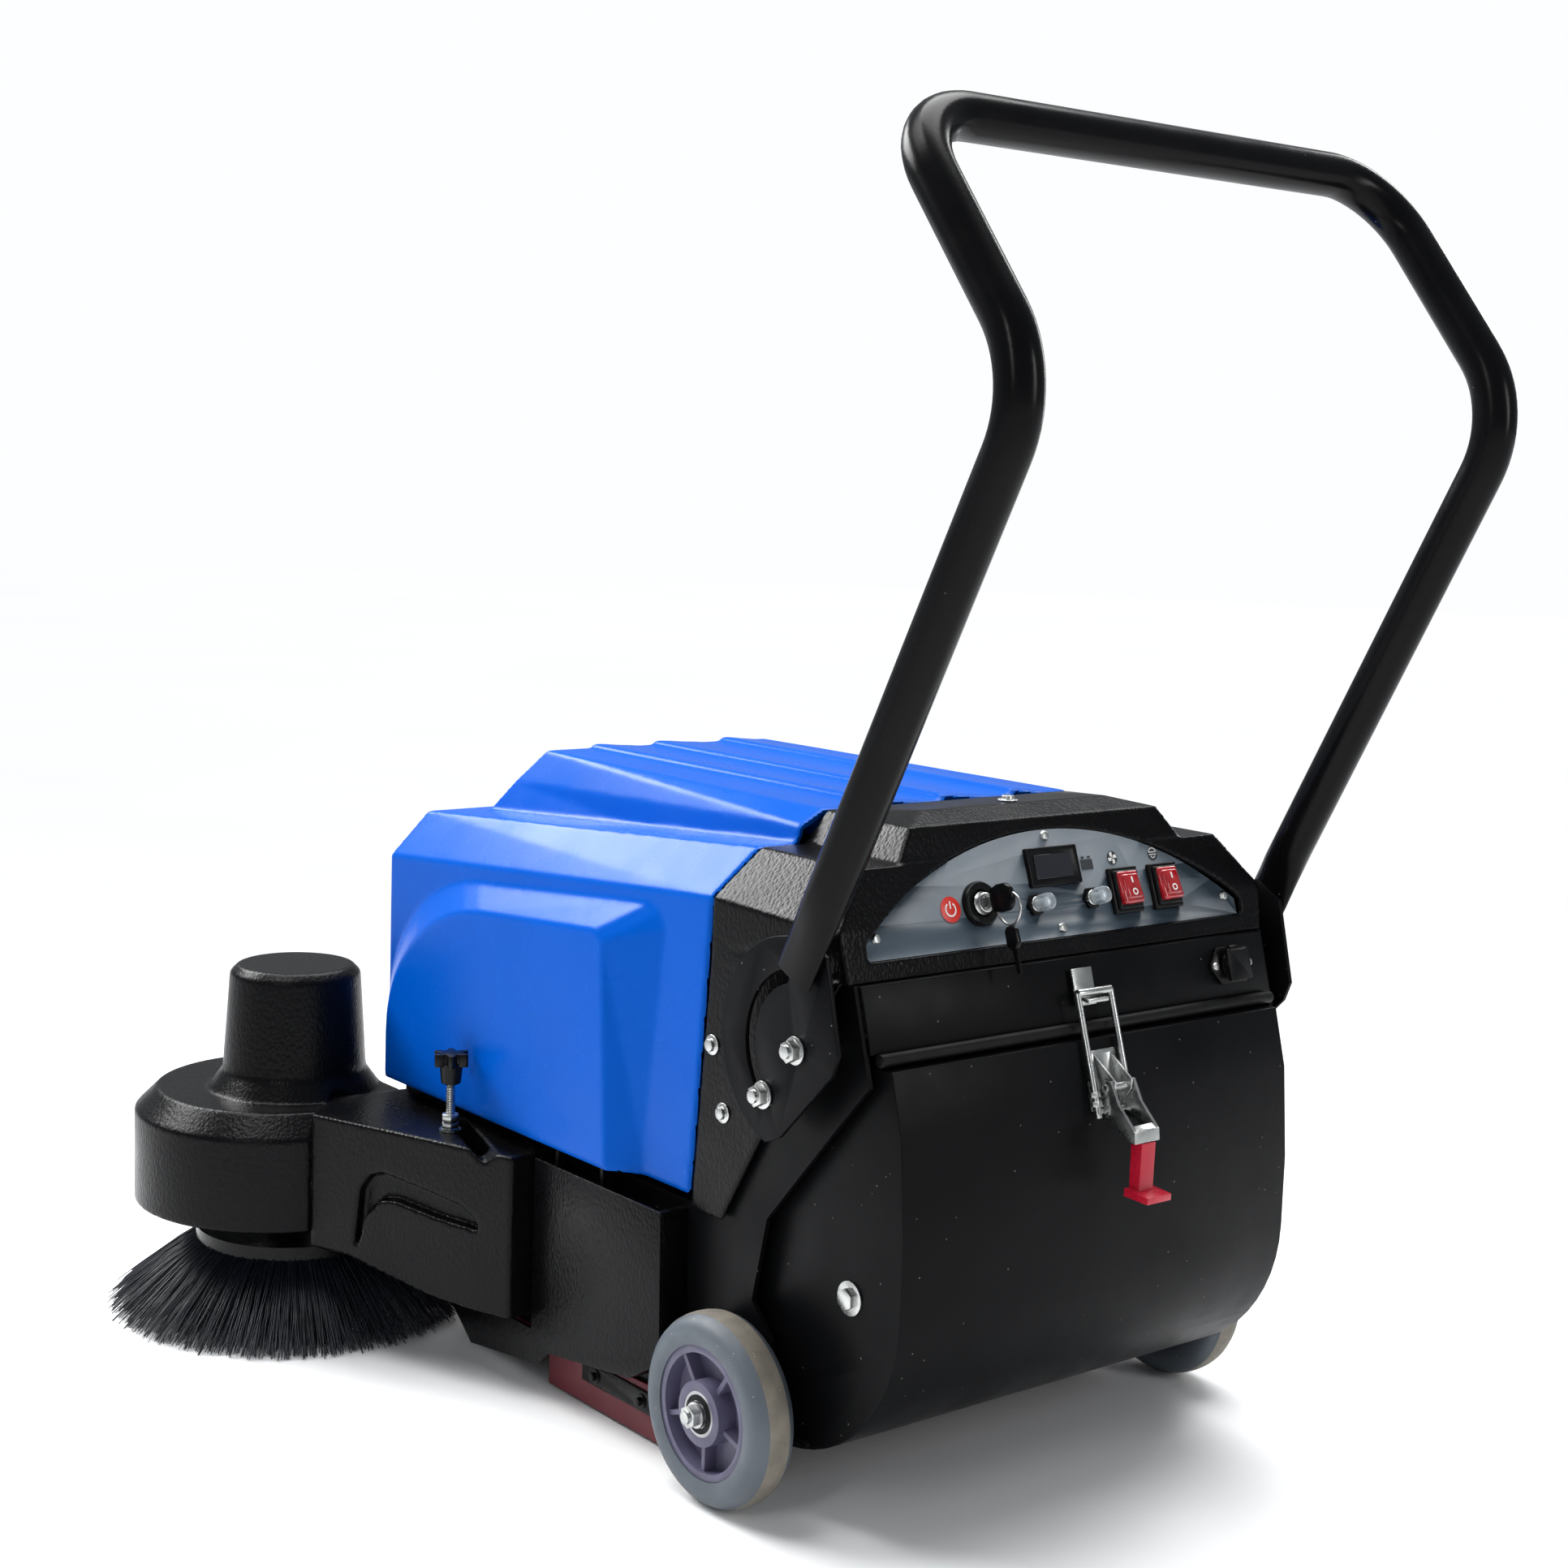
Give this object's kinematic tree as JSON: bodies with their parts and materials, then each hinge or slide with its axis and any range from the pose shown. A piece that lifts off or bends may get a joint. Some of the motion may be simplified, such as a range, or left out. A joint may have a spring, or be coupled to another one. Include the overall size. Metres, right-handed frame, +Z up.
{
  "type": "walk-behind sweeper",
  "caption": "Walk-behind sweeper with folding push handle, blue hood, rear dust bin with toggle latch, side brush on a swinging arm and roller brush.",
  "frame": {"origin": "on the floor, under the middle of the whole outline", "axes": "+X to the right of the person pushing, +Y the way the machine travels, +Z up"},
  "size_m": [0.7544, 1.045, 1.0428],
  "materials": {
    "black_steel": "satin black powder coat",
    "black_pe": "leather-grained black polyethylene",
    "blue_pe": "vivid blue rotomoulded polyethylene",
    "slate": "slate grey panel",
    "black_plastic": "black moulded plastic",
    "zinc": "bright zinc-plated steel",
    "steel": "plain steel",
    "black_rubber": "black rubber",
    "red_rubber": "dark red rubber skirt",
    "tyre": "blue-grey thermoplastic rubber",
    "rim": "purple-grey nylon",
    "bristle": "black nylon bristle",
    "red_grip": "dipped red vinyl",
    "red_rocker": "translucent red",
    "clear": "clear silicone boot",
    "battery": "dark battery case",
    "filter": "pleated filter paper",
    "alu": "cast aluminium"
  },
  "bodies": {
    "chassis": {"chassis_frame": "black_steel", "rear_plate": "black_steel", "brush_tunnel": "black_steel", "rear_housing": "black_pe", "control_panel": "slate", "battery_meter": "black_plastic", "panel_screws": "zinc", "housing_screws": "zinc", "key_switch": "black_plastic", "switch_frames": "black_plastic", "charge_socket": "black_plastic", "latch_catch": "zinc", "bin_seal": "black_rubber", "axle_bolts": "zinc", "handle_bolts": "zinc", "side_covers": "black_pe", "rubber_skirts": "red_rubber", "skirt_strips": "black_plastic", "drive_motor": "steel", "drive_belt": "black_rubber", "battery": "battery", "dust_filter": "filter", "fan_housing": "black_plastic", "brush_bearings": "steel"},
    "handle": {"handle_tube": "black_steel", "handle_crossbar": "black_steel", "handle_plates": "black_steel"},
    "left_wheel": {"left_tyre": "tyre", "left_rim": "rim", "left_bearings": "steel"},
    "right_wheel": {"right_tyre": "tyre", "right_rim": "rim", "right_bearings": "steel"},
    "caster": {"caster_fork": "zinc"},
    "caster_roller": {"caster_wheel": "black_plastic"},
    "roller": {"roller_core": "black_steel", "roller_bristles": "bristle", "roller_pulley": "alu"},
    "motor_shaft": {"motor_pulley": "alu"},
    "side_arm": {"brush_arm": "black_pe", "brush_cover": "black_pe", "side_motor": "steel"},
    "knob": {"height_knob": "black_plastic"},
    "side_brush": {"side_disc": "black_plastic", "side_bristles": "bristle"},
    "bin": {"bin_shell": "black_steel", "bin_bolts": "zinc", "latch_base": "zinc"},
    "lever": {"latch_lever": "zinc", "latch_grip": "red_grip"},
    "bail": {"latch_bail": "zinc"},
    "key": {"key": "black_plastic"},
    "fan_switch": {"fan_rocker": "red_rocker"},
    "brush_switch": {"brush_rocker": "red_rocker"},
    "fan_reset": {"fan_breaker": "clear"},
    "brush_reset": {"brush_breaker": "clear"},
    "flap": {"socket_flap": "black_plastic"},
    "hood": {"hood": "blue_pe", "hood_hinges": "black_plastic"},
    "fan": {"fan_impeller": "alu"}
  },
  "joints": [
    {"name": "handle_fold", "type": "hinge", "parent": "chassis", "child": "handle", "pos_m": [0.09275, -0.30445, 0.369], "axis": [-1, 0, 0], "range_deg": [0, 80]},
    {"name": "left_wheel_spin", "type": "hinge", "parent": "chassis", "child": "left_wheel", "pos_m": [-0.15825, -0.23145, 0.075], "axis": [-1, 0, 0], "continuous": true},
    {"name": "right_wheel_spin", "type": "hinge", "parent": "chassis", "child": "right_wheel", "pos_m": [0.34375, -0.23145, 0.075], "axis": [-1, 0, 0], "continuous": true},
    {"name": "caster_swivel", "type": "hinge", "parent": "chassis", "child": "caster", "pos_m": [0.09275, 0.22355, 0.1], "axis": [0, 0, 1], "continuous": true},
    {"name": "caster_wheel_spin", "type": "hinge", "parent": "caster", "child": "caster_roller", "pos_m": [0.09275, 0.19555, 0.04], "axis": [-1, 0, 0], "continuous": true},
    {"name": "roller_spin", "type": "hinge", "parent": "chassis", "child": "roller", "pos_m": [0.09275, -0.01645, 0.122], "axis": [-1, 0, 0], "continuous": true},
    {"name": "motor_spin", "type": "hinge", "parent": "chassis", "child": "motor_shaft", "pos_m": [-0.14225, -0.02545, 0.318], "axis": [-1, 0, 0], "continuous": true},
    {"name": "side_arm_lift", "type": "hinge", "parent": "chassis", "child": "side_arm", "pos_m": [-0.15725, 0.06855, 0.12], "axis": [1, 0, 0], "range_deg": [0, 2.5]},
    {"name": "knob_turn", "type": "hinge", "parent": "side_arm", "child": "knob", "pos_m": [-0.17725, 0.13255, 0.262], "axis": [0, 0, 1], "range_deg": [0, 1800]},
    {"name": "side_brush_spin", "type": "hinge", "parent": "side_arm", "child": "side_brush", "pos_m": [-0.20925, 0.35455, 0.07], "axis": [0, 0, 1], "continuous": true},
    {"name": "bin_draw_out", "type": "slide", "parent": "chassis", "child": "bin", "axis": [0, -1, 0], "range_m": [0, 0.25]},
    {"name": "latch_lever_turn", "type": "hinge", "parent": "bin", "child": "lever", "pos_m": [0.09275, -0.38945, 0.328], "axis": [-1, 0, 0], "range_deg": [0, 150]},
    {"name": "latch_bail_turn", "type": "hinge", "parent": "lever", "child": "bail", "pos_m": [0.09275, -0.38745, 0.31], "axis": [-1, 0, 0], "range_deg": [-150, 0]},
    {"name": "key_turn", "type": "hinge", "parent": "chassis", "child": "key", "pos_m": [0.01075, -0.31569, 0.46407], "axis": [0, -0.9397, 0.342], "range_deg": [-60, 0]},
    {"name": "fan_rocker_tilt", "type": "hinge", "parent": "chassis", "child": "fan_switch", "pos_m": [0.16755, -0.31282, 0.46026], "axis": [1, 0, 0], "range_deg": [0, 14]},
    {"name": "brush_rocker_tilt", "type": "hinge", "parent": "chassis", "child": "brush_switch", "pos_m": [0.21375, -0.31282, 0.46026], "axis": [1, 0, 0], "range_deg": [0, 14]},
    {"name": "fan_reset_press", "type": "slide", "parent": "chassis", "child": "fan_reset", "axis": [0, 0.9397, -0.342], "range_m": [0, 0.003], "stiffness_N_per_m": 400},
    {"name": "brush_reset_press", "type": "slide", "parent": "chassis", "child": "brush_reset", "axis": [0, 0.9397, -0.342], "range_m": [0, 0.003], "stiffness_N_per_m": 400},
    {"name": "socket_flap_turn", "type": "hinge", "parent": "chassis", "child": "flap", "pos_m": [0.26675, -0.35047, 0.41134], "axis": [-1, 0, 0], "range_deg": [0, 90], "stiffness_Nm_per_rad": 0.02},
    {"name": "hood_tilt", "type": "hinge", "parent": "chassis", "child": "hood", "pos_m": [0.09275, 0.29255, 0.228], "axis": [1, 0, 0], "range_deg": [-36, 0]},
    {"name": "fan_spin", "type": "hinge", "parent": "chassis", "child": "fan", "pos_m": [0.20275, -0.22545, 0.43], "axis": [0, 0, 1], "continuous": true}
  ],
  "couplings": [
    {"joint": "motor_spin", "follows": "roller_spin", "ratio": 1.9},
    {"joint": "latch_bail_turn", "follows": "latch_lever_turn", "ratio": -1},
    {"joint": "knob_turn", "follows": "side_arm_lift", "ratio": 720}
  ]
}
